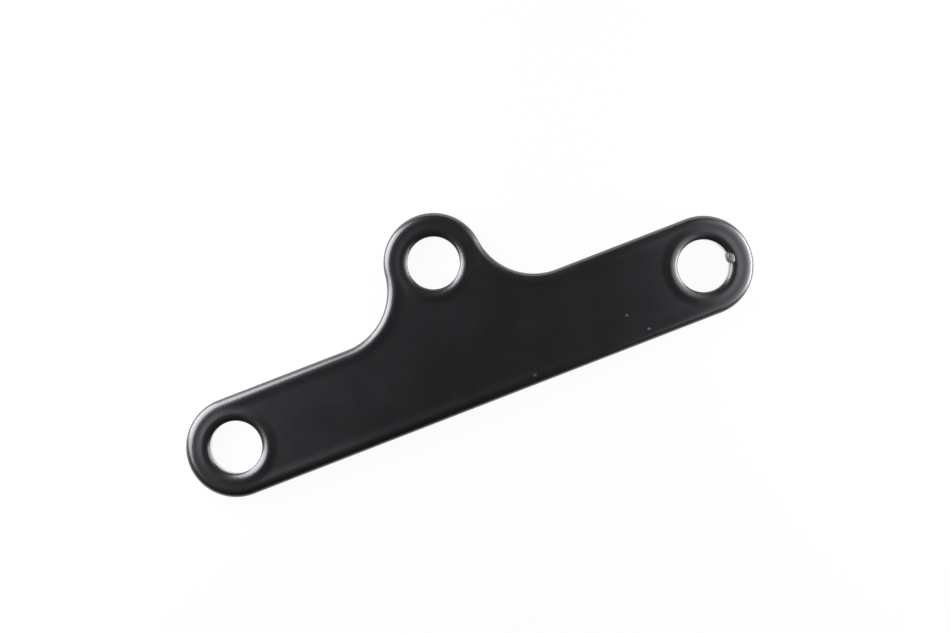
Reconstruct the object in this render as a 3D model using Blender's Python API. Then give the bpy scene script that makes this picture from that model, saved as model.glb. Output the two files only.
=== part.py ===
"""Flat three-hole steel speedometer bracket, one blanked and coated piece.

Metres, +Z up. The bracket lies on its back face. The origin is on the back face,
midway between the two end holes. +X runs along the bar and +Y points to the ear.
"""

import math

import bmesh
import bpy
from mathutils import Matrix, Vector

# Blank: a straight bar with an ear in the middle of one long side
HOLE_SPACING = 0.100  # between the centres of the two end holes
EAR_OFFSET = 0.020  # from the line of the end holes to the ear's hole
BAR_WIDTH = 0.020
EAR_RADIUS = 0.010
FILLET_RADIUS = 0.0125  # hollow curve between the bar and the ear
PLATE_THICKNESS = 0.004

# Holes, each clear for an M10 bolt
END_HOLE_DIAMETER = 0.0105
EAR_HOLE_DIAMETER = 0.0105

# Edges: a soft roll at the front, a small break at the back
OUTER_ROLL_WIDTH = 0.0020
OUTER_ROLL_DEPTH = 0.0013
HOLE_ROLL_WIDTH = 0.0017
HOLE_ROLL_DEPTH = 0.0010
LEAST_LAND = 0.0004  # flat that stays between the two rolls where a web is narrow
BACK_BREAK = 0.0004

# Tag of coating that the hanging hook left on the rim of the +X hole
TAG_WIDTH = 0.0017  # along the rim
TAG_REACH = 0.0009  # from the wall into the hole
TAG_ROOT = 0.0010  # from the wall back over the rolled edge
TAG_HEIGHT = 0.0014  # down from the level of the front face
TAG_BEARING = math.radians(-7.5)  # round the hole, from +X

# Fineness of the curves
ARC_STEP = math.radians(5.7)
HOLE_SIDES = 56
ROLL_STEPS = 6
BREAK_STEPS = 3

COATING_COLOUR = (0.012, 0.012, 0.013, 1.0)
COATING_ROUGHNESS = 0.28


def clear_scene():
    for obj in list(bpy.data.objects):
        bpy.data.objects.remove(obj, do_unlink=True)


def arc(centre, radius, start, end, hollow=False):
    """Points of an arc, each with the direction that points out of the plate there.

    Angles run from start to end. A hollow arc has the plate on its outside.
    """
    steps = 2 * math.ceil(abs(end - start) / ARC_STEP / 2)  # even, so one is in the middle
    sign = -1.0 if hollow else 1.0
    points = []
    for i in range(steps + 1):
        angle = start + (end - start) * i / steps
        away = Vector((math.cos(angle), math.sin(angle)))
        points.append((centre + radius * away, sign * away))
    return points


def blank_outline():
    """Outline of the plate, anticlockwise from the bottom of the +X end.

    The fillets touch the bar's upper edge and the ear's round, so their centres
    are one fillet radius above the edge and both radii away from the ear's centre.
    """
    half_width = BAR_WIDTH / 2
    half_spacing = HOLE_SPACING / 2
    ear = Vector((0.0, EAR_OFFSET))
    fillet_y = half_width + FILLET_RADIUS
    reach = EAR_RADIUS + FILLET_RADIUS
    fillet_x = math.sqrt(reach**2 - (fillet_y - EAR_OFFSET) ** 2)
    lean = math.asin((fillet_y - EAR_OFFSET) / reach)  # of the line from ear to fillet
    quarter = math.pi / 2

    outline = arc(Vector((half_spacing, 0.0)), half_width, -quarter, quarter)
    outline += arc(
        Vector((fillet_x, fillet_y)), FILLET_RADIUS, -quarter, lean - math.pi, hollow=True
    )
    outline += arc(ear, EAR_RADIUS, lean, math.pi - lean)
    outline += arc(
        Vector((-fillet_x, fillet_y)), FILLET_RADIUS, -lean, -quarter, hollow=True
    )
    outline += arc(Vector((-half_spacing, 0.0)), half_width, quarter, 3 * quarter)
    return without_doubles(outline)


def without_doubles(outline):
    """Drops the second of two neighbours that coincide, as where two arcs meet."""
    kept = []
    for point, away in outline:
        if not kept or (point - kept[-1][0]).length > 1e-7:
            kept.append((point, away))
    return kept


def hole_outline(centre, diameter):
    """A round hole's wall. The direction out of the plate points to the hole's middle."""
    outline = []
    for i in range(HOLE_SIDES):
        angle = 2 * math.pi * i / HOLE_SIDES
        away = Vector((math.cos(angle), math.sin(angle)))
        outline.append((centre + diameter / 2 * away, -away))
    return outline


def edge_section(roll_width, roll_depth):
    """(inset from the wall, height) from the front face, down the wall, to the back."""
    section = []
    for i in range(ROLL_STEPS + 1):
        turn = math.pi / 2 * i / ROLL_STEPS
        inset = roll_width * (1 - math.sin(turn))
        section.append((inset, PLATE_THICKNESS - roll_depth * (1 - math.cos(turn))))
    for i in range(BREAK_STEPS + 1):
        turn = math.pi / 2 * i / BREAK_STEPS
        inset = BACK_BREAK * (1 - math.cos(turn))
        section.append((inset, BACK_BREAK * (1 - math.sin(turn))))
    return section


def add_edge(bm, outline, section):
    """Carries the section round the outline. Returns the edges at the two faces."""
    rings = []
    for inset, height in section:
        ring = []
        for point, away in outline:
            place = point - inset * away
            ring.append(bm.verts.new((place.x, place.y, height)))
        rings.append(ring)
    count = len(outline)
    for upper, lower in zip(rings, rings[1:]):
        for i in range(count):
            j = (i + 1) % count
            bm.faces.new((upper[i], upper[j], lower[j], lower[i]))
    front = [bm.edges.get((rings[0][i], rings[0][i - 1])) for i in range(count)]
    back = [bm.edges.get((rings[-1][i], rings[-1][i - 1])) for i in range(count)]
    return front, back


def make_object(name, bm):
    mesh = bpy.data.meshes.new(name)
    bm.to_mesh(mesh)
    bm.free()
    obj = bpy.data.objects.new(name, mesh)
    bpy.context.scene.collection.objects.link(obj)
    return obj


def roll_share():
    """How much of their widths the rolls take: all, unless the narrowest web is too thin."""
    end_web = (BAR_WIDTH - END_HOLE_DIAMETER) / 2
    ear_web = EAR_RADIUS - EAR_HOLE_DIAMETER / 2
    room = min(end_web, ear_web) - LEAST_LAND
    return min(1.0, room / (OUTER_ROLL_WIDTH + HOLE_ROLL_WIDTH))


def make_plate():
    """The blank with its three holes, as one closed mesh."""
    half_spacing = HOLE_SPACING / 2
    share = roll_share()
    outer_section = edge_section(share * OUTER_ROLL_WIDTH, OUTER_ROLL_DEPTH)
    hole_section = edge_section(share * HOLE_ROLL_WIDTH, HOLE_ROLL_DEPTH)
    walls = [
        (blank_outline(), outer_section),
        (hole_outline(Vector((-half_spacing, 0.0)), END_HOLE_DIAMETER), hole_section),
        (hole_outline(Vector((half_spacing, 0.0)), END_HOLE_DIAMETER), hole_section),
        (hole_outline(Vector((0.0, EAR_OFFSET)), EAR_HOLE_DIAMETER), hole_section),
    ]
    bm = bmesh.new()
    front_edges, back_edges = [], []
    for outline, section in walls:
        front, back = add_edge(bm, outline, section)
        front_edges += front
        back_edges += back
    bmesh.ops.triangle_fill(bm, edges=front_edges, use_beauty=True)
    bmesh.ops.triangle_fill(bm, edges=back_edges, use_beauty=True)
    bmesh.ops.recalc_face_normals(bm, faces=bm.faces)
    return make_object("speedometer_bracket", bm)


def make_hook_tag():
    """A small lump that straddles the rim of the +X hole, as a helper for the union."""
    bm = bmesh.new()
    bmesh.ops.create_icosphere(bm, subdivisions=2, radius=0.5)
    tag = make_object("hook_tag_shape", bm)
    rim_radius = END_HOLE_DIAMETER / 2
    middle = rim_radius + (TAG_ROOT - TAG_REACH) / 2
    size = (TAG_ROOT + TAG_REACH, TAG_WIDTH, TAG_HEIGHT)  # across the rim, along it, up
    tag.data.transform(Matrix.Diagonal((*size, 1.0)))
    tag.rotation_euler.z = TAG_BEARING
    tag.location = (
        HOLE_SPACING / 2 + middle * math.cos(TAG_BEARING),
        middle * math.sin(TAG_BEARING),
        PLATE_THICKNESS - TAG_HEIGHT / 2,
    )
    tag.hide_render = True
    tag.display_type = "WIRE"
    return tag


def black_coating():
    material = bpy.data.materials.new("black_powder_coat")
    material.use_nodes = True
    shader = material.node_tree.nodes["Principled BSDF"]
    shader.inputs["Base Color"].default_value = COATING_COLOUR
    shader.inputs["Roughness"].default_value = COATING_ROUGHNESS
    shader.inputs["Metallic"].default_value = 0.0
    return material


def build():
    clear_scene()
    bracket = make_plate()
    tag = make_hook_tag()
    union = bracket.modifiers.new("hook_tag", "BOOLEAN")
    union.operation = "UNION"
    union.solver = "EXACT"
    union.object = tag
    bracket.data.materials.append(black_coating())
    bracket.data.shade_smooth()
    bracket.data.set_sharp_from_angle(angle=math.radians(30))


build()
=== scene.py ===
# %% [markdown]
# A flat three-hole speedometer bracket
#
# The real part is one steel blank: a bar with round ends, an ear on its middle and three
# bolt holes. Its front edges are soft, and it is powder coated black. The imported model
# already has the right sizes. What it lacks is the coating: the fat rim that powder builds
# beside every edge, the orange peel, the satin gloss and the torn shape of the tag that the
# hanging hook left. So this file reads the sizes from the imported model, works the coated
# surface out again with numpy, finely enough to hold those forms, and lights it softly.

import bpy
import numpy as np
from mathutils import Matrix, Vector
from mathutils.geometry import delaunay_2d_cdt


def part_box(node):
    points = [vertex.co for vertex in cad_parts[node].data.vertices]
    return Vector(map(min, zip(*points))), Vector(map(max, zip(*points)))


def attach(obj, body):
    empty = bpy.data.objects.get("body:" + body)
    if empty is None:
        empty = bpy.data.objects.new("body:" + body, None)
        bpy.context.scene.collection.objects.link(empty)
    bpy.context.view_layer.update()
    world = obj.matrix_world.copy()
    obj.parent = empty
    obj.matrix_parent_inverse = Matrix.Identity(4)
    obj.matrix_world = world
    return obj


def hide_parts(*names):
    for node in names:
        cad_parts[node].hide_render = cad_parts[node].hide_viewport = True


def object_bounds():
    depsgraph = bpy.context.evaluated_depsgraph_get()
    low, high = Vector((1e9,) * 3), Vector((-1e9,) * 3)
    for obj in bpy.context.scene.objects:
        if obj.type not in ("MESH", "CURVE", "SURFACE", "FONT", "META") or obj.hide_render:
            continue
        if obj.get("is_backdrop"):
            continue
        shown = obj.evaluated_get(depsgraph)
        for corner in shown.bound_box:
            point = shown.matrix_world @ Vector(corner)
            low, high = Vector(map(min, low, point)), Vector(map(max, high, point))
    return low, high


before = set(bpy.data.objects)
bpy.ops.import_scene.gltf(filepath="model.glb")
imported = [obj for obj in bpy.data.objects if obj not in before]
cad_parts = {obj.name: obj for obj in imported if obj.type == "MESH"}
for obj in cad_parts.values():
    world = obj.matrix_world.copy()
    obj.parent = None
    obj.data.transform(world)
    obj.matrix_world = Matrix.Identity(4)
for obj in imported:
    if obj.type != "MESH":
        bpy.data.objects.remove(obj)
cad_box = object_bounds()
NODE = "speedometer_bracket"
MM = 0.001
print("packed nodes:", sorted(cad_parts))

# %% [markdown]
# Sizes from the frame
#
# The bracket lies on its back, with its origin midway between the end holes. Its box gives
# most of the outline: the bar's lower edge is half its width below the origin, the round
# ends have that same radius, and the ear's top is its radius above its hole. Only what a
# box can't tell is written here: the ear's radius, the fillets and the holes.

# %% Read the sizes
low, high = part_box(NODE)
THICKNESS = high.z - low.z
HALF_WIDTH = -low.y
HALF_SPACING = high.x - HALF_WIDTH
EAR_RADIUS = 10.0 * MM
EAR_OFFSET = high.y - EAR_RADIUS
FILLET_RADIUS = 12.5 * MM
HOLE_RADIUS = 5.25 * MM

FILLET_Y = HALF_WIDTH + FILLET_RADIUS
REACH = EAR_RADIUS + FILLET_RADIUS  # from the ear's middle to a fillet's
FILLET_X = np.sqrt(REACH**2 - (FILLET_Y - EAR_OFFSET) ** 2)
LEAN = np.arcsin((FILLET_Y - EAR_OFFSET) / REACH)  # of the line between those middles
HOLES = np.array([[-HALF_SPACING, 0.0], [HALF_SPACING, 0.0], [0.0, EAR_OFFSET]])
print(f"bar {2 * HALF_WIDTH / MM:.1f} wide, holes {2 * HALF_SPACING / MM:.1f} apart,")
print(f"ear {EAR_OFFSET / MM:.1f} up, plate {THICKNESS / MM:.1f} thick (mm)")

# %% [markdown]
# The outline
#
# A blank like this is drawn with arcs that touch each other, so it has no corners. Going
# round with the plate on the left, it takes three round arcs, two hollow ones and three
# straight runs. Each run below gives evenly spaced points, and beside each point the
# direction that leads out of the plate there. Every edge form is later carried along these.

# %% Trace the outline
RIM_STEP = 0.24 * MM


def arc_run(centre, radius, start, end):
    """Points of an arc, without its last: centre + radius * (cos a, sin a).

    The way out of the plate is (cos a, sin a), turned round on a hollow arc, which is one
    that is traced clockwise.
    """
    count = max(2, round(abs(end - start) * radius / RIM_STEP))
    a = np.linspace(start, end, count, endpoint=False)
    away = np.column_stack([np.cos(a), np.sin(a)])
    return np.asarray(centre) + radius * away, away * np.sign(end - start)


def straight_run(start, end):
    """Points of a straight run, without its last: start + t * (end - start).

    The way out of the plate is on the right of the way along.
    """
    start, end = np.asarray(start), np.asarray(end)
    length = np.linalg.norm(end - start)
    t = np.arange(round(length / RIM_STEP)) / round(length / RIM_STEP)
    along = (end - start) / length
    away = np.array([along[1], -along[0]])
    return start + t[:, None] * (end - start), np.tile(away, (len(t), 1))


def outline():
    """The plate's edge, anticlockwise from the lower end of the +X round."""
    quarter = np.pi / 2
    runs = [
        arc_run((HALF_SPACING, 0), HALF_WIDTH, -quarter, quarter),
        straight_run((HALF_SPACING, HALF_WIDTH), (FILLET_X, HALF_WIDTH)),
        arc_run((FILLET_X, FILLET_Y), FILLET_RADIUS, -quarter, LEAN - np.pi),
        arc_run((0, EAR_OFFSET), EAR_RADIUS, LEAN, np.pi - LEAN),
        arc_run((-FILLET_X, FILLET_Y), FILLET_RADIUS, -LEAN, -quarter),
        straight_run((-FILLET_X, HALF_WIDTH), (-HALF_SPACING, HALF_WIDTH)),
        arc_run((-HALF_SPACING, 0), HALF_WIDTH, quarter, 3 * quarter),
        straight_run((-HALF_SPACING, -HALF_WIDTH), (HALF_SPACING, -HALF_WIDTH)),
    ]
    return np.vstack([p for p, _ in runs]), np.vstack([away for _, away in runs])


edge_points, edge_away = outline()
print("outline points:", len(edge_points))

# %% [markdown]
# How far a point lies from an edge
#
# Powder is drawn to edges by the charge that it is sprayed with, so it builds up beside
# them and thins out over the face. The height of the coat is therefore worked out from two
# distances, one to the outer edge and one to the nearest hole. Because all the runs of the
# outer edge touch smoothly, the first is the least of the distances to each run, each one
# counted only beside its run.

# %% Measure the distance to the edges


def rim_distance(x, y):
    """How deep (x, y) lies inside the outer edge.

    Beside a round arc it is the radius less the distance to its centre, beside a hollow
    arc the other way about, and beside a straight run the distance square to it. The plate
    is the same on both sides of the ear, so x is folded to its positive half.
    """
    x = np.abs(x)
    far = np.inf
    end = np.where(x >= HALF_SPACING, HALF_WIDTH - np.hypot(x - HALF_SPACING, y), far)
    lower = np.where(x <= HALF_SPACING, y + HALF_WIDTH, far)
    beside = (x >= FILLET_X) & (x <= HALF_SPACING)
    upper = np.where(beside, HALF_WIDTH - y, far)
    dx, dy = x - FILLET_X, y - FILLET_Y
    beside = (dx <= 0) & (dy * np.cos(LEAN) <= dx * np.sin(LEAN))
    fillet = np.where(beside, np.hypot(dx, dy) - FILLET_RADIUS, far)
    ey = y - EAR_OFFSET
    ear = EAR_RADIUS - np.hypot(x, ey)
    ear = np.where(ey * np.cos(LEAN) >= x * np.sin(LEAN), ear, far)
    return np.minimum.reduce([end, lower, upper, fillet, ear])


def hole_distance(x, y):
    """How far (x, y) lies outside the nearest hole: its centre's distance less the radius."""
    to_centres = np.hypot(x[:, None] - HOLES[:, 0], y[:, None] - HOLES[:, 1])
    return to_centres.min(axis=1) - HOLE_RADIUS


TRIAL_DEPTH = 2 * MM
inner = edge_points - TRIAL_DEPTH * edge_away
error = np.abs(rim_distance(inner[:, 0], inner[:, 1]) - TRIAL_DEPTH).max()
print(f"points set {TRIAL_DEPTH / MM:.0f} mm in measure that to within {error / MM:.6f} mm")

# %% [markdown]
# The coat's height
#
# Beside each edge the plate is fattest, and from there it slopes down to the open face,
# a quarter of a millimetre lower. Such a slope is only a few degrees steep, yet it is what
# the eye finds first: it catches the lamps as a pale band that follows the edges a little
# way in. The edge itself rolls over as part of an ellipse, and a small round joins that to
# the wall, so there is no sharp corner. A few nibs of dust and two thick places lie on top.

# %% Shape the coat
RIM_FAT = 0.24 * MM  # how much lower the open face is than the crest beside the outer edge
HOLE_FAT = 0.24 * MM
RIM_FAT_SPAN = (0.5 * MM, 3.5 * MM)  # where the slope starts and where it has run out
HOLE_FAT_SPAN = (1.1 * MM, 3.2 * MM)
BACK_FAT = 0.05 * MM
RIM_ROLL = (2.0 * MM, 1.32 * MM, np.radians(80))  # half sizes of its ellipse, and its turn
HOLE_ROLL = (1.84 * MM, 1.06 * MM, np.radians(69))
CREASE_RADIUS = 0.12 * MM  # of the round between a roll and the wall
BACK_ROLL = (0.5 * MM, 0.4 * MM)
NIBS = np.array([[35.20, -7.75], [32.08, -3.68], [10.78, -8.13]]) * MM  # x, y of each
NIB_RADIUS = np.array([0.20, 0.22, 0.22]) * MM
NIB_HEIGHT = np.array([0.11, 0.04, 0.05]) * MM
SWELLS = np.array([[55.10, 2.36], [55.17, -3.22]]) * MM  # x, y where the powder ran thick
SWELL_RADIUS = np.array([1.1, 1.2]) * MM
SWELL_HEIGHT = np.array([0.03, 0.04]) * MM


def ease(t):
    """0 below 0, 1 above 1 and 3t^2 - 2t^3 between, which starts and ends level."""
    t = np.clip(t, 0, 1)
    return t * t * (3 - 2 * t)


def fatness(distance, span):
    """1 beside an edge and 0 on the open face, by the distance from that edge."""
    start, end = span
    return ease((end - distance) / (end - start))


def mounds(x, y, middles, radius):
    """exp(-(r / radius)^2) for each mound, with r the distance to its middle."""
    r = np.hypot(x[:, None] - middles[:, 0], y[:, None] - middles[:, 1])
    return np.exp(-((r / radius) ** 2))


def front_height(x, y):
    """Height of the front face: the open face's, and what edges, nibs and swells add."""
    rim = fatness(rim_distance(x, y), RIM_FAT_SPAN)
    hole = fatness(hole_distance(x, y), HOLE_FAT_SPAN)
    nibs = mounds(x, y, NIBS, NIB_RADIUS) @ NIB_HEIGHT
    swells = mounds(x, y, SWELLS, SWELL_RADIUS) @ SWELL_HEIGHT
    return THICKNESS - RIM_FAT + RIM_FAT * rim + HOLE_FAT * hole + nibs + swells


def back_height(x, y):
    """Height of the back face. It rests on its rims, so its middle is a little off."""
    rim = fatness(rim_distance(x, y), RIM_FAT_SPAN)
    hole = fatness(hole_distance(x, y), HOLE_FAT_SPAN)
    return BACK_FAT * (1 - rim) * (1 - hole)


open_face = front_height(np.zeros(1), np.zeros(1))[0]
print(f"open face {open_face / MM:.2f} mm high, crests {THICKNESS / MM:.2f} mm")

# %% [markdown]
# Edges as a section carried round
#
# All four edges, the outer one and the three holes, are made alike: one section, from the
# front face over the roll, down the wall and round to the back, is carried along the edge's
# points. A section is a list of steps, each an inset from the wall and a drop from the
# face, so a grid of section by outline gives every vertex at once.

# %% Make the edges
FRONT_BAND = 2.2 * MM  # how far in the carried section reaches
HOLE_BAND = 2.1 * MM
FLAT_POINTS = 3  # of the section, on the front before the roll, and as many on the back
ROLL_POINTS = 16
CREASE_POINTS = 5
WALL_STEPS = 5
WALL_CROWDING = 1.5  # above 1, the wall's steps are shorter near the roll
BACK_ROLL_POINTS = 5


def section(band, roll):
    """(insets, drops from the front, rises from the back), step by step.

    Over the front roll the inset is width * (sin turn - sin a) and the drop is
    depth * (1 - cos a), for a from 0 to the turn. From the slope that it has there, a small
    round goes on to the upright wall. The back roll is a plain quarter of an ellipse.
    """
    width, depth, turn = roll
    a = np.linspace(0, turn, ROLL_POINTS)
    slope = np.arctan2(depth * np.sin(turn), width * np.cos(turn))
    b = np.linspace(slope, np.pi / 2, CREASE_POINTS)[1:]
    over = width * (np.sin(turn) - np.sin(a)) + CREASE_RADIUS * (1 - np.sin(slope))
    flat = np.linspace(band, over[0], FLAT_POINTS, endpoint=False)
    inset = np.concatenate([flat, over, CREASE_RADIUS * (1 - np.sin(b))])
    drop = np.concatenate([0 * flat, depth * (1 - np.cos(a))])
    drop = np.concatenate([drop, drop[-1] + CREASE_RADIUS * (np.cos(slope) - np.cos(b))])
    width, depth = BACK_ROLL
    wall = THICKNESS - drop[-1] - depth
    down = wall * np.linspace(0, 1, WALL_STEPS, endpoint=False)[1:] ** WALL_CROWDING
    a = np.linspace(np.pi / 2, 0, BACK_ROLL_POINTS)
    back_flat = np.linspace(width, band, FLAT_POINTS + 1)[1:]
    rise = np.concatenate([depth * (1 - np.cos(a)), 0 * back_flat])
    back_inset = np.concatenate([width * (1 - np.sin(a)), back_flat])
    inset = np.concatenate([inset, 0 * down, back_inset])
    front = np.concatenate([drop, drop[-1] + down])
    return inset, front, rise


for name, band, roll in (("outer", FRONT_BAND, RIM_ROLL), ("hole", HOLE_BAND, HOLE_ROLL)):
    print(f"{name} section: {len(section(band, roll)[0])} steps")

# %% Carry the sections round
HOLE_POINTS = 256


def carried(points, away, band, roll):
    """The section carried round an edge, as an array of steps by points by (x, y, z)."""
    inset, drop, rise = section(band, roll)
    plan = points[None, :, :] - inset[:, None, None] * away[None, :, :]
    x, y = plan[..., 0], plan[..., 1]
    rows = len(drop)
    shape = (-1, x.shape[1])
    front = front_height(x[:rows].ravel(), y[:rows].ravel()).reshape(shape) - drop[:, None]
    back = back_height(x[rows:].ravel(), y[rows:].ravel()).reshape(shape) + rise[:, None]
    return np.dstack([x, y, np.vstack([front, back])])


def hole_edge(centre, angles):
    """A hole's edge points, clockwise so that the plate is on the left."""
    spoke = np.column_stack([np.cos(angles), np.sin(angles)])
    return centre + HOLE_RADIUS * spoke, -spoke


hole_angles = np.linspace(2 * np.pi, 0, HOLE_POINTS, endpoint=False)
grids = [carried(edge_points, edge_away, FRONT_BAND, RIM_ROLL)]
for centre in HOLES:
    grids.append(carried(*hole_edge(centre, hole_angles), HOLE_BAND, HOLE_ROLL))
print("edge grids, steps by points:", [g.shape[:2] for g in grids])

# %% [markdown]
# The open faces
#
# Between the edge bands lies the open face, a height over x and y. It is sampled on a
# lattice of even triangles, which shade better than squares because no direction is
# favoured. The lattice is joined to the rings where the bands end by a Delaunay
# triangulation, which keeps the rings' own edges, so that the whole skin closes.

# %% Sample the open faces
FRONT_STEP = 0.34 * MM
BACK_STEP = 0.9 * MM
RING_GAP = 0.6  # least room between a ring and the lattice, in lattice steps
NIB_REACH = 2.2  # how far the closer points go out from a nib's middle, in its radii
NIB_POINTS = 90


def nib_points(centre, radius):
    """Closer points over a nib, in a sunflower's pattern: r grows as the root of the number."""
    k = np.arange(NIB_POINTS)
    r = NIB_REACH * radius * np.sqrt((k + 0.5) / NIB_POINTS)
    turn = k * np.pi * (3 - np.sqrt(5))
    return centre + np.column_stack([r * np.cos(turn), r * np.sin(turn)])


def lattice(step):
    """Points of an even triangular lattice that lie on the open face, clear of its edges.

    Rows are step * sqrt(3) / 2 apart, and every second row is moved along half a step.
    """
    rows = np.arange(-HALF_WIDTH, EAR_OFFSET + EAR_RADIUS, step * np.sqrt(3) / 2)
    columns = np.arange(-HALF_SPACING - HALF_WIDTH, HALF_SPACING + HALF_WIDTH, step)
    x, y = np.meshgrid(columns, rows)
    x = (x + (np.arange(len(rows)) % 2)[:, None] * step / 2).ravel()
    y = y.ravel()
    keep = rim_distance(x, y) > FRONT_BAND + RING_GAP * step
    keep &= hole_distance(x, y) > HOLE_BAND + RING_GAP * step
    return np.column_stack([x[keep], y[keep]])


def front_points():
    """The front's lattice, with closer points in place of its own over each nib."""
    points = lattice(FRONT_STEP)
    for centre, radius in zip(NIBS, NIB_RADIUS):
        clear = np.linalg.norm(points - centre, axis=1) > NIB_REACH * radius + FRONT_STEP / 3
        points = np.vstack([points[clear], nib_points(centre, radius)])
    return points


front_inside = front_points()
back_inside = lattice(BACK_STEP)
print(f"points on the open faces: {len(front_inside)} in front, {len(back_inside)} behind")

# %% Join the faces to the edges


def triangles_between(rings, inside):
    """Triangles that join closed rings of points and the loose points inside the first.

    The indices count the rings' points first, one ring after another, then the others.
    The later rings are holes. A circle's chords lie inside it, so a triangle with all of
    its corners on one of them fills a hole, and is left out.
    """
    plan = np.vstack([*rings, inside])
    fences = []
    ring_of = np.zeros(len(plan), int)
    first = 0
    for i, ring in enumerate(rings):
        here = first + np.arange(len(ring))
        fences.append(np.column_stack([here, np.roll(here, -1)]))
        ring_of[here] = i
        first += len(ring)
    scaled = [Vector(p) for p in (plan / MM).tolist()]
    made = delaunay_2d_cdt(scaled, np.vstack(fences).tolist(), [], 1, 1e-7)
    source = np.array([ids[0] for ids in made[3]])
    triangles = source[np.array(made[2])]
    touched = ring_of[triangles]
    fills = (touched[:, 0] > 0) & (touched == touched[:, :1]).all(axis=1)
    return triangles[~fills]


def turned(triangles, plan, upward):
    """The same triangles, each going round so that it faces up, or down.

    Seen from above, one whose sides u and v give ux * vy - uy * vx > 0 is anticlockwise.
    """
    corner, second, third = (plan[triangles[:, k]] for k in range(3))
    u, v = second - corner, third - corner
    wrong = (u[:, 0] * v[:, 1] - u[:, 1] * v[:, 0] > 0) != upward
    triangles = triangles.copy()
    triangles[wrong] = triangles[wrong][:, ::-1]
    return triangles


# %% Assemble the skin


def assemble(grids):
    """All vertices, quads and triangles of the closed skin: the edges, then both faces."""
    vertices = []
    quads = []
    front_rings, back_rings = [], []
    first = 0
    for grid in grids:
        steps, count = grid.shape[:2]
        number = first + np.arange(steps * count).reshape(steps, count)
        after = np.roll(number, -1, axis=1)
        corners = [number[:-1], number[1:], after[1:], after[:-1]]
        quads.append(np.stack(corners, axis=-1).reshape(-1, 4))
        vertices.append(grid.reshape(-1, 3))
        front_rings.append(number[0])
        back_rings.append(number[-1])
        first += steps * count
    triangles = []
    for rings, inside, height, upward in (
        (front_rings, front_inside, front_height, True),
        (back_rings, back_inside, back_height, False),
    ):
        placed = np.vstack(vertices)
        ring_plans = [placed[ring][:, :2] for ring in rings]
        local = triangles_between(ring_plans, inside)
        plan = np.vstack([*ring_plans, inside])
        local = turned(local, plan, upward)
        number = np.concatenate([*rings, first + np.arange(len(inside))])
        triangles.append(number[local])
        z = height(inside[:, 0], inside[:, 1])
        vertices.append(np.column_stack([inside, z]))
        first += len(inside)
    return np.vstack(vertices), np.vstack(quads), np.vstack(triangles)


skin = assemble(grids)
print("vertices, quads and triangles:", [len(part) for part in skin])

# %% Make it a mesh


def mesh_from(name, vertices, quads, triangles):
    """A mesh of quads and triangles, filled with foreach_set."""
    mesh = bpy.data.meshes.new(name)
    corners = np.concatenate([quads.ravel(), triangles.ravel()])
    sizes = np.concatenate([np.full(len(quads), 4), np.full(len(triangles), 3)])
    mesh.vertices.add(len(vertices))
    mesh.vertices.foreach_set("co", vertices.astype(np.float32).ravel())
    mesh.loops.add(len(corners))
    mesh.loops.foreach_set("vertex_index", corners.astype(np.int32))
    mesh.polygons.add(len(sizes))
    starts = np.concatenate([[0], np.cumsum(sizes)[:-1]])
    mesh.polygons.foreach_set("loop_start", starts.astype(np.int32))
    mesh.update(calc_edges=True)
    mesh.validate()
    mesh.shade_smooth()
    return mesh


def shown(mesh):
    """The mesh as an object in the scene. Prints its size and whether it is closed."""
    loop_edges = np.zeros(len(mesh.loops), np.int32)
    mesh.loops.foreach_get("edge_index", loop_edges)
    edge_use = np.bincount(loop_edges, minlength=len(mesh.edges))
    triangle_count = len(mesh.loops) - 2 * len(mesh.polygons)
    print(f"{mesh.name}: {triangle_count} triangles, {int((edge_use != 2).sum())} open edges")
    made = bpy.data.objects.new(mesh.name, mesh)
    bpy.context.scene.collection.objects.link(made)
    return made


bracket = shown(mesh_from("coated_bracket", *skin))

# %% [markdown]
# The hook tag
#
# Parts are hung from a wire to be coated, and where the wire touched, the coat tears when
# the part is lifted off. It leaves a small squarish lump, here on the rim of the right end's
# hole. It could be drawn out of the skin, but it hangs over the hole, so a closed lump that
# is sunk into the rim is simpler to shape.

# %% Shape the tag
TAGGED_HOLE = 1  # in HOLES, the one at +X
TAG_BEARING = np.radians(-5.0)  # round that hole, from +X
TAG_FROM_CENTRE = 5.44 * MM  # of the hole, to the tag's middle
TAG_DOWN = 0.62 * MM  # from the front face to the tag's middle
TAG_TURN = np.radians(-24.0)
TAG_HALF = np.array([1.06, 1.04, 0.66]) * MM  # across the plate, along the rim, up
TAG_SQUARENESS = 4.0  # 2 would be an ellipsoid
TAG_UNEVENNESS = 0.025
TORN_SIDE = np.array([-0.95, -0.75, 0.10])  # longer means that more is torn off
DENT_TOWARDS = np.array([-0.18, 0.42, 0.80])
DENT_DEPTH = 0.55
DENT_SIZE = 0.24
TAG_ROWS, TAG_COLUMNS = 60, 96  # of its mesh, as on a globe
tag_middle = np.array([*HOLES[TAGGED_HOLE], THICKNESS - TAG_DOWN])
tag_middle[:2] += TAG_FROM_CENTRE * np.array([np.cos(TAG_BEARING), np.sin(TAG_BEARING)])


def tag_directions(rows, columns):
    """Directions on a ball, by latitude and longitude from pole to pole, then both poles."""
    latitude = np.linspace(-np.pi / 2, np.pi / 2, rows + 2)[1:-1, None]
    longitude = np.linspace(0, 2 * np.pi, columns, endpoint=False)[None, :]
    x = np.cos(latitude) * np.cos(longitude)
    y = np.cos(latitude) * np.sin(longitude)
    z = np.sin(latitude) + 0 * longitude
    round_ball = np.stack([x, y, z], axis=-1).reshape(-1, 3)
    return np.vstack([round_ball, [[0, 0, -1], [0, 0, 1]]])


def dent(d):
    """exp(-(s / size)^2), with s from the direction d to the dent's own."""
    towards = DENT_TOWARDS / np.linalg.norm(DENT_TOWARDS)
    return np.exp(-(np.linalg.norm(d - towards, axis=1) / DENT_SIZE) ** 2)


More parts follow.
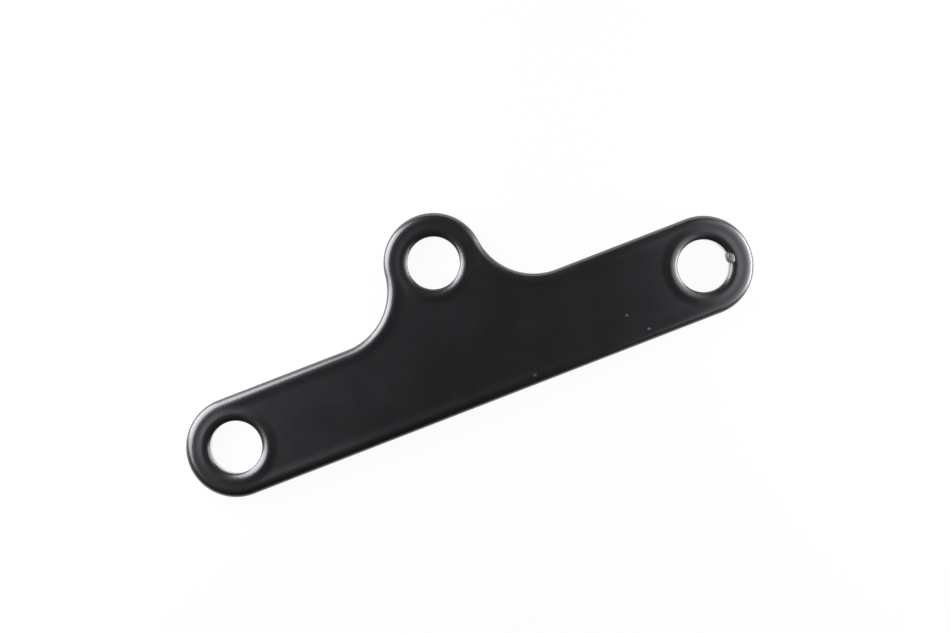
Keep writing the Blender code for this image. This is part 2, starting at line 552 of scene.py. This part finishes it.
def tag_surface(d):
    """The tag's point towards each direction d.

    Counted in its half sizes, the distance is (|x|^n + |y|^n + |z|^n + t^n)^(-1/n), where t
    is how far d points to the torn side. The slow waves sin(4x + 1) cos(5y) + sin(6y + 3z)
    and the dent make it uneven. Then it is turned to lie as the hook left it.
    """
    torn = np.maximum(d @ TORN_SIDE, 0)
    sides = np.column_stack([np.abs(d), torn]) ** TAG_SQUARENESS
    distance = sides.sum(axis=1) ** (-1 / TAG_SQUARENESS)
    waves = np.sin(4 * d[:, 0] + 1) * np.cos(5 * d[:, 1]) + np.sin(6 * d[:, 1] + 3 * d[:, 2])
    distance *= 1 + TAG_UNEVENNESS * waves - DENT_DEPTH * dent(d)
    x, y, z = (distance[:, None] * d * TAG_HALF).T
    c, s = np.cos(TAG_TURN), np.sin(TAG_TURN)
    return tag_middle + np.column_stack([c * x - s * y, s * x + c * y, z])


tag_ball = tag_directions(TAG_ROWS, TAG_COLUMNS)
tag_points = tag_surface(tag_ball)
tag_low, tag_high = tag_points[:, 2].min(), tag_points[:, 2].max()
print(f"hook tag from {tag_low / MM:.2f} to {tag_high / MM:.2f} mm above the floor")

# %% Mesh the tag


def ball_faces(rows, columns):
    """Quads between neighbouring rows, and triangles from the end rows to the poles."""
    number = np.arange(rows * columns).reshape(rows, columns)
    after = np.roll(number, -1, axis=1)
    quads = np.stack([number[:-1], after[:-1], after[1:], number[1:]], axis=-1).reshape(-1, 4)
    low_pole = np.full(columns, rows * columns)
    bottom = np.column_stack([low_pole, after[0], number[0]])
    top = np.column_stack([low_pole + 1, number[-1], after[-1]])
    return quads, np.vstack([bottom, top])


tag = shown(mesh_from("hook_tag", tag_points, *ball_faces(TAG_ROWS, TAG_COLUMNS)))

# %% [markdown]
# Where the coat is bare, and where shade is painted
#
# The torn tag and the nibs of dust are greyer than the coat. The dent in the tag is painted
# darker again, as painted shade in its hollow. How bare each point is, less that painted
# shade, goes into the mesh as an attribute, so that the finish can follow it.

# %% Mark the bare places
DENT_PAINTED_SHADE = 0.6  # painted shade: how far the dent's colour is pulled back to the coat's black


def mark_bare_and_dent_shade(mesh, amount):
    """Keeps an amount from 0 to 1 as the mesh's attribute: how bare each point is, less any
    painted shade.
    """
    attribute = mesh.attributes.new("bare", "FLOAT", "POINT")
    attribute.data.foreach_set("value", amount.astype(np.float32))
    print(f"{mesh.name}: {int((amount > 0.5).sum())} of {len(amount)} points are mostly bare")


places = np.empty(3 * len(bracket.data.vertices), np.float32)
bracket.data.vertices.foreach_get("co", places)
x, y, z = places.reshape(-1, 3).T
mark_bare_and_dent_shade(bracket.data, mounds(x, y, NIBS, NIB_RADIUS).max(axis=1) * (z > THICKNESS / 2))
# Painted shade: on the tag, the dent is painted darker, towards the coat's black, as shade in
# its hollow.
mark_bare_and_dent_shade(tag.data, 1 - DENT_PAINTED_SHADE * dent(tag_ball))

# %% [markdown]
# The powder coat
#
# Black powder coat is a satin plastic skin. It has hardly any colour of its own: what one
# sees are soft reflections, the steeper the look the sharper, so the roughness falls where
# the surface turns away. Over it lies a thin clear skin of its own, the resin that floats
# up as the powder melts. The orange peel, a fine ripple from that melting, breaks up the
# reflections, and the gloss varies a little from place to place.

# %% Mix the powder coat
COAT_BLACK = (0.0081, 0.0081, 0.0085, 1.0)
BARE_GREY = (0.122, 0.122, 0.121, 1.0)
COAT_ROUGHNESS = (0.30, 0.36)  # from the glossiest patches to the dullest
GRAZING_ROUGHNESS = 0.12
GRAZING_POWER = 2.0
COAT_IOR = 1.65
SKIN_WEIGHT = 0.95
SKIN_ROUGHNESS = 0.28
SKIN_IOR = 1.5
PATCH_SCALE = 140.0  # patches of gloss about 7 mm across
PATCH_RANGE = (0.3, 0.7)  # of the noise, which seldom leaves it
PEEL_SCALE = 1300.0  # ripples about 0.8 mm across
PEEL_STRENGTH = 0.35
PEEL_HEIGHT = 0.02 * MM
MIX_FACTOR, MIX_FIRST, MIX_SECOND, MIX_RESULT = 0, 6, 7, 2  # the Mix node's colour sockets


def node(tree, kind, **settings):
    """A new node, with the named properties set on it and the other names on its inputs."""
    made = tree.nodes.new(kind)
    for name, value in settings.items():
        if hasattr(made, name):
            setattr(made, name, value)
        else:
            made.inputs[name.replace("_", " ")].default_value = value
    return made


def powder_coat():
    """The coat as one material: gloss in patches, sleeker at a grazing look, with peel."""
    material = bpy.data.materials.new("black_powder_coat")
    material.use_nodes = True
    tree = material.node_tree
    shader = tree.nodes["Principled BSDF"]
    shader.inputs["IOR"].default_value = COAT_IOR
    shader.inputs["Coat Weight"].default_value = SKIN_WEIGHT
    shader.inputs["Coat Roughness"].default_value = SKIN_ROUGHNESS
    shader.inputs["Coat IOR"].default_value = SKIN_IOR
    place = tree.nodes.new("ShaderNodeTexCoord").outputs["Object"]

    patches = node(tree, "ShaderNodeTexNoise", Scale=PATCH_SCALE, Detail=3.0)
    tree.links.new(place, patches.inputs["Vector"])
    gloss = node(tree, "ShaderNodeMapRange")
    gloss.inputs["From Min"].default_value, gloss.inputs["From Max"].default_value = PATCH_RANGE
    gloss.inputs["To Min"].default_value, gloss.inputs["To Max"].default_value = COAT_ROUGHNESS
    tree.links.new(patches.outputs["Fac"], gloss.inputs["Value"])
    facing = node(tree, "ShaderNodeLayerWeight", Blend=0.5)
    grazing = node(tree, "ShaderNodeMath", operation="POWER")
    grazing.inputs[1].default_value = GRAZING_POWER
    tree.links.new(facing.outputs["Facing"], grazing.inputs[0])
    sleek = node(tree, "ShaderNodeMix", B=GRAZING_ROUGHNESS)
    tree.links.new(grazing.outputs[0], sleek.inputs["Factor"])
    tree.links.new(gloss.outputs["Result"], sleek.inputs["A"])
    tree.links.new(sleek.outputs["Result"], shader.inputs["Roughness"])

    # The attribute read here holds how bare each point is, and also the painted shade in the
    # tag's dent.
    bare_and_dent_shade = node(tree, "ShaderNodeAttribute", attribute_name="bare")
    colour = node(tree, "ShaderNodeMix", data_type="RGBA")
    colour.inputs[MIX_FIRST].default_value = COAT_BLACK
    colour.inputs[MIX_SECOND].default_value = BARE_GREY
    tree.links.new(bare_and_dent_shade.outputs["Fac"], colour.inputs[MIX_FACTOR])
    tree.links.new(colour.outputs[MIX_RESULT], shader.inputs["Base Color"])

    peel = node(tree, "ShaderNodeTexNoise", Scale=PEEL_SCALE, Detail=2.0)
    tree.links.new(place, peel.inputs["Vector"])
    bump = node(tree, "ShaderNodeBump", Strength=PEEL_STRENGTH, Distance=PEEL_HEIGHT)
    tree.links.new(peel.outputs["Fac"], bump.inputs["Height"])
    tree.links.new(bump.outputs["Normal"], shader.inputs["Normal"])
    return material


coat = powder_coat()
print("the powder coat is mixed by", len(coat.node_tree.nodes), "nodes")

# %% Put it on both pieces
for piece in (bracket, tag):
    piece.data.materials.append(coat)
    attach(piece, "root")
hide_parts(NODE)
print("coated:", bracket.name, "and", tag.name)

# %% [markdown]
# Floor
#
# The part lies on a white table. For the light that bounces about, the table is plain
# white paint. For the eye, and in reflections, most of it is swapped for an even glow,
# since the photographer burnt it out to clean white. What is left of the painted surface
# in that mix still carries the part's faint shadow.

# %% Lay the floor
FLOOR_SIZE = 3.0
FLOOR_PAINT = (0.8, 0.8, 0.8, 1.0)
FLOOR_ROUGHNESS = 0.9
FLOOR_GLOW_SHARE = 0.955


def studio_floor():
    """A square table: paint for bounced light, and for the eye a share of even glow."""
    mesh = bpy.data.meshes.new("floor")
    half = FLOOR_SIZE / 2
    corners = [(-half, -half, 0), (half, -half, 0), (half, half, 0), (-half, half, 0)]
    mesh.from_pydata(corners, [], [(0, 1, 2, 3)])
    material = bpy.data.materials.new("white_table")
    material.use_nodes = True
    tree = material.node_tree
    paint = tree.nodes["Principled BSDF"]
    paint.inputs["Base Color"].default_value = FLOOR_PAINT
    paint.inputs["Roughness"].default_value = FLOOR_ROUGHNESS
    paint.inputs["Specular IOR Level"].default_value = 0.0
    glow = tree.nodes.new("ShaderNodeEmission")
    glow.inputs["Color"].default_value = (1.0, 1.0, 1.0, 1.0)
    rays = tree.nodes.new("ShaderNodeLightPath")
    seen = node(tree, "ShaderNodeMath", operation="MAXIMUM")
    either = node(tree, "ShaderNodeMath", operation="MAXIMUM")
    share = node(tree, "ShaderNodeMath", operation="MULTIPLY")
    share.inputs[1].default_value = FLOOR_GLOW_SHARE
    mix = tree.nodes.new("ShaderNodeMixShader")
    tree.links.new(rays.outputs["Is Camera Ray"], seen.inputs[0])
    tree.links.new(rays.outputs["Is Glossy Ray"], seen.inputs[1])
    tree.links.new(seen.outputs[0], either.inputs[0])
    tree.links.new(rays.outputs["Is Transmission Ray"], either.inputs[1])
    tree.links.new(either.outputs[0], share.inputs[0])
    tree.links.new(share.outputs[0], mix.inputs["Fac"])
    tree.links.new(paint.outputs["BSDF"], mix.inputs[1])
    tree.links.new(glow.outputs["Emission"], mix.inputs[2])
    tree.links.new(mix.outputs["Shader"], tree.nodes["Material Output"].inputs["Surface"])
    mesh.materials.append(material)
    return bpy.data.objects.new("floor", mesh)


floor = studio_floor()
bpy.context.scene.collection.objects.link(floor)
floor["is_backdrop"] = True
print(f"floor {FLOOR_SIZE} m wide, {FLOOR_GLOW_SHARE:.1%} of what the eye sees is glow")

# %% [markdown]
# Camera
#
# The bracket is seen from straight above, turned by 21 degrees in the picture. How much of
# the holes' walls shows on each side tells how far away the camera was: a bit over 0.4 m,
# with a long lens that takes in a strip 190 mm wide. The picture's middle is a little
# beside the bracket's own.

# %% Place the camera
CAMERA_DISTANCE = 0.425
CAMERA_TURN = np.radians(-21.2)
PICTURE_WIDTH = 189.95 * MM
PICTURE_MIDDLE = (1.04 * MM, 7.97 * MM)  # from the origin, along the picture's own axes

picture_right = np.array([np.cos(CAMERA_TURN), np.sin(CAMERA_TURN), 0.0])
picture_up = np.array([-np.sin(CAMERA_TURN), np.cos(CAMERA_TURN), 0.0])


def in_picture(right, up, height):
    """A place from the picture's middle: right and up in it, and height above the floor."""
    middle = PICTURE_MIDDLE[0] * picture_right + PICTURE_MIDDLE[1] * picture_up
    return Vector(middle + right * picture_right + up * picture_up + (0.0, 0.0, height))


lens = bpy.data.cameras.new("camera")
lens.sensor_width = 36.0
lens.lens = lens.sensor_width * CAMERA_DISTANCE / PICTURE_WIDTH
lens.clip_start = 0.01
camera = bpy.data.objects.new("camera", lens)
camera.location = in_picture(0.0, 0.0, THICKNESS / 2 + CAMERA_DISTANCE)
camera.rotation_euler = (0.0, 0.0, CAMERA_TURN)
bpy.context.scene.collection.objects.link(camera)
bpy.context.scene.camera = camera
print(f"lens {lens.lens:.1f} mm on a {lens.sensor_width:.0f} mm sensor")

# %% [markdown]
# Light
#
# The reflections along the rolled edges show where the light came from: from the two
# slanting side walls of a small light tent, the right one bright near its foot and dim
# towards its top, and from a low strip of light behind. The top, where the camera looks
# in, and the front stay dark. That is why the face is black while every edge that faces a
# wall shines. Each wall is a stack of strips, so that it can fade from foot to top, and
# its cloth turns slightly lilac on the way. Beyond the table the world looks white to the
# camera, yet it sheds next to no light.

# %% Set up the lamps
TOP_TINT = np.array([0.965, 0.945, 1.08])  # the cloth's colour at the top of each wall


def strip(name, middle, along, up, size, radiance, colour):
    """A rectangular lamp. Its power is pi * its area * the radiance that it should show."""
    lamp = bpy.data.lights.new(name, "AREA")
    lamp.shape = "RECTANGLE"
    lamp.size, lamp.size_y = size
    lamp.energy = np.pi * size[0] * size[1] * radiance
    lamp.color = colour
    obj = bpy.data.objects.new(name, lamp)
    turn = Matrix((along, up, along.cross(up))).transposed()
    obj.matrix_world = Matrix.Translation(middle) @ turn.to_4x4()
    obj.visible_camera = False
    bpy.context.scene.collection.objects.link(obj)


def tent_wall(name, foot, top, along, width, radiances, strips):
    """A slanting wall of strips, with a radiance that fades evenly from foot to top.

    Each strip shows foot * (top / foot)^t, for t halfway up it, in a colour that goes from
    white to TOP_TINT with t^2. The lamps look along up x along, so along is chosen to make
    them look at the table.
    """
    up = top - foot
    foot_radiance, top_radiance = radiances
    for i in range(strips):
        t = (i + 0.5) / strips
        radiance = foot_radiance * (top_radiance / foot_radiance) ** t
        size = (width, up.length / strips)
        tint = TOP_TINT ** (t * t)
        strip(f"{name}_{i}", foot + t * up, along, up.normalized(), size, radiance, tint)


def direction(bearing):
    """A level direction, by its bearing in the picture from the right, anticlockwise."""
    a = np.radians(bearing)
    return Vector(np.cos(a) * picture_right + np.sin(a) * picture_up)


tent_wall(
    "left_wall",
    foot=in_picture(-0.2526, 0.0938, 0.0097),
    top=in_picture(-0.0839, 0.0126, 0.0975),
    along=direction(244.3),
    width=0.1594,
    radiances=(13.4, 6.0),
    strips=3,
)
tent_wall(
    "right_wall",
    foot=in_picture(0.2018, 0.0323, 0.0017),
    top=in_picture(0.058, 0.0125, 0.0782),
    along=direction(97.85),
    width=0.1504,
    radiances=(35.2, 0.76),
    strips=6,
)
tent_wall(
    "back_strip",
    foot=in_picture(0.0, 0.260, 0.003),
    top=in_picture(0.0, 0.253, 0.070),
    along=direction(180.0),
    width=0.400,
    radiances=(1.8, 1.8),
    strips=1,
)
print("lamps:", ", ".join(lamp.name for lamp in bpy.data.lights))

# %% Whiten what lies beyond the table
WORLD_LEVEL = 0.01  # what reaches the part from all round; the camera sees 1 there

world = bpy.data.worlds.new("studio")
world.use_nodes = True
bpy.context.scene.world = world
backdrop = world.node_tree.nodes["Background"]
backdrop.inputs["Color"].default_value = (1.0, 1.0, 1.0, 1.0)
rays = world.node_tree.nodes.new("ShaderNodeLightPath")
level = node(world.node_tree, "ShaderNodeMapRange")
level.inputs["To Min"].default_value = WORLD_LEVEL
level.inputs["To Max"].default_value = 1.0
world.node_tree.links.new(rays.outputs["Is Camera Ray"], level.inputs["Value"])
world.node_tree.links.new(level.outputs["Result"], backdrop.inputs["Strength"])
bpy.context.scene.view_settings.view_transform = "Standard"
print("view transform:", bpy.context.scene.view_settings.view_transform)

# %% [markdown]
# The size before and after
#
# Both boxes are printed side by side: the imported model's, and what is shown now. The
# coated skin may not change the part's size.

# %% Print both boxes
seen_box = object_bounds()
boxes = {"cad": [list(c) for c in cad_box], "visual": [list(c) for c in seen_box]}
for name, box in boxes.items():
    print(name, [[round(v / MM, 3) for v in corner] for corner in box])
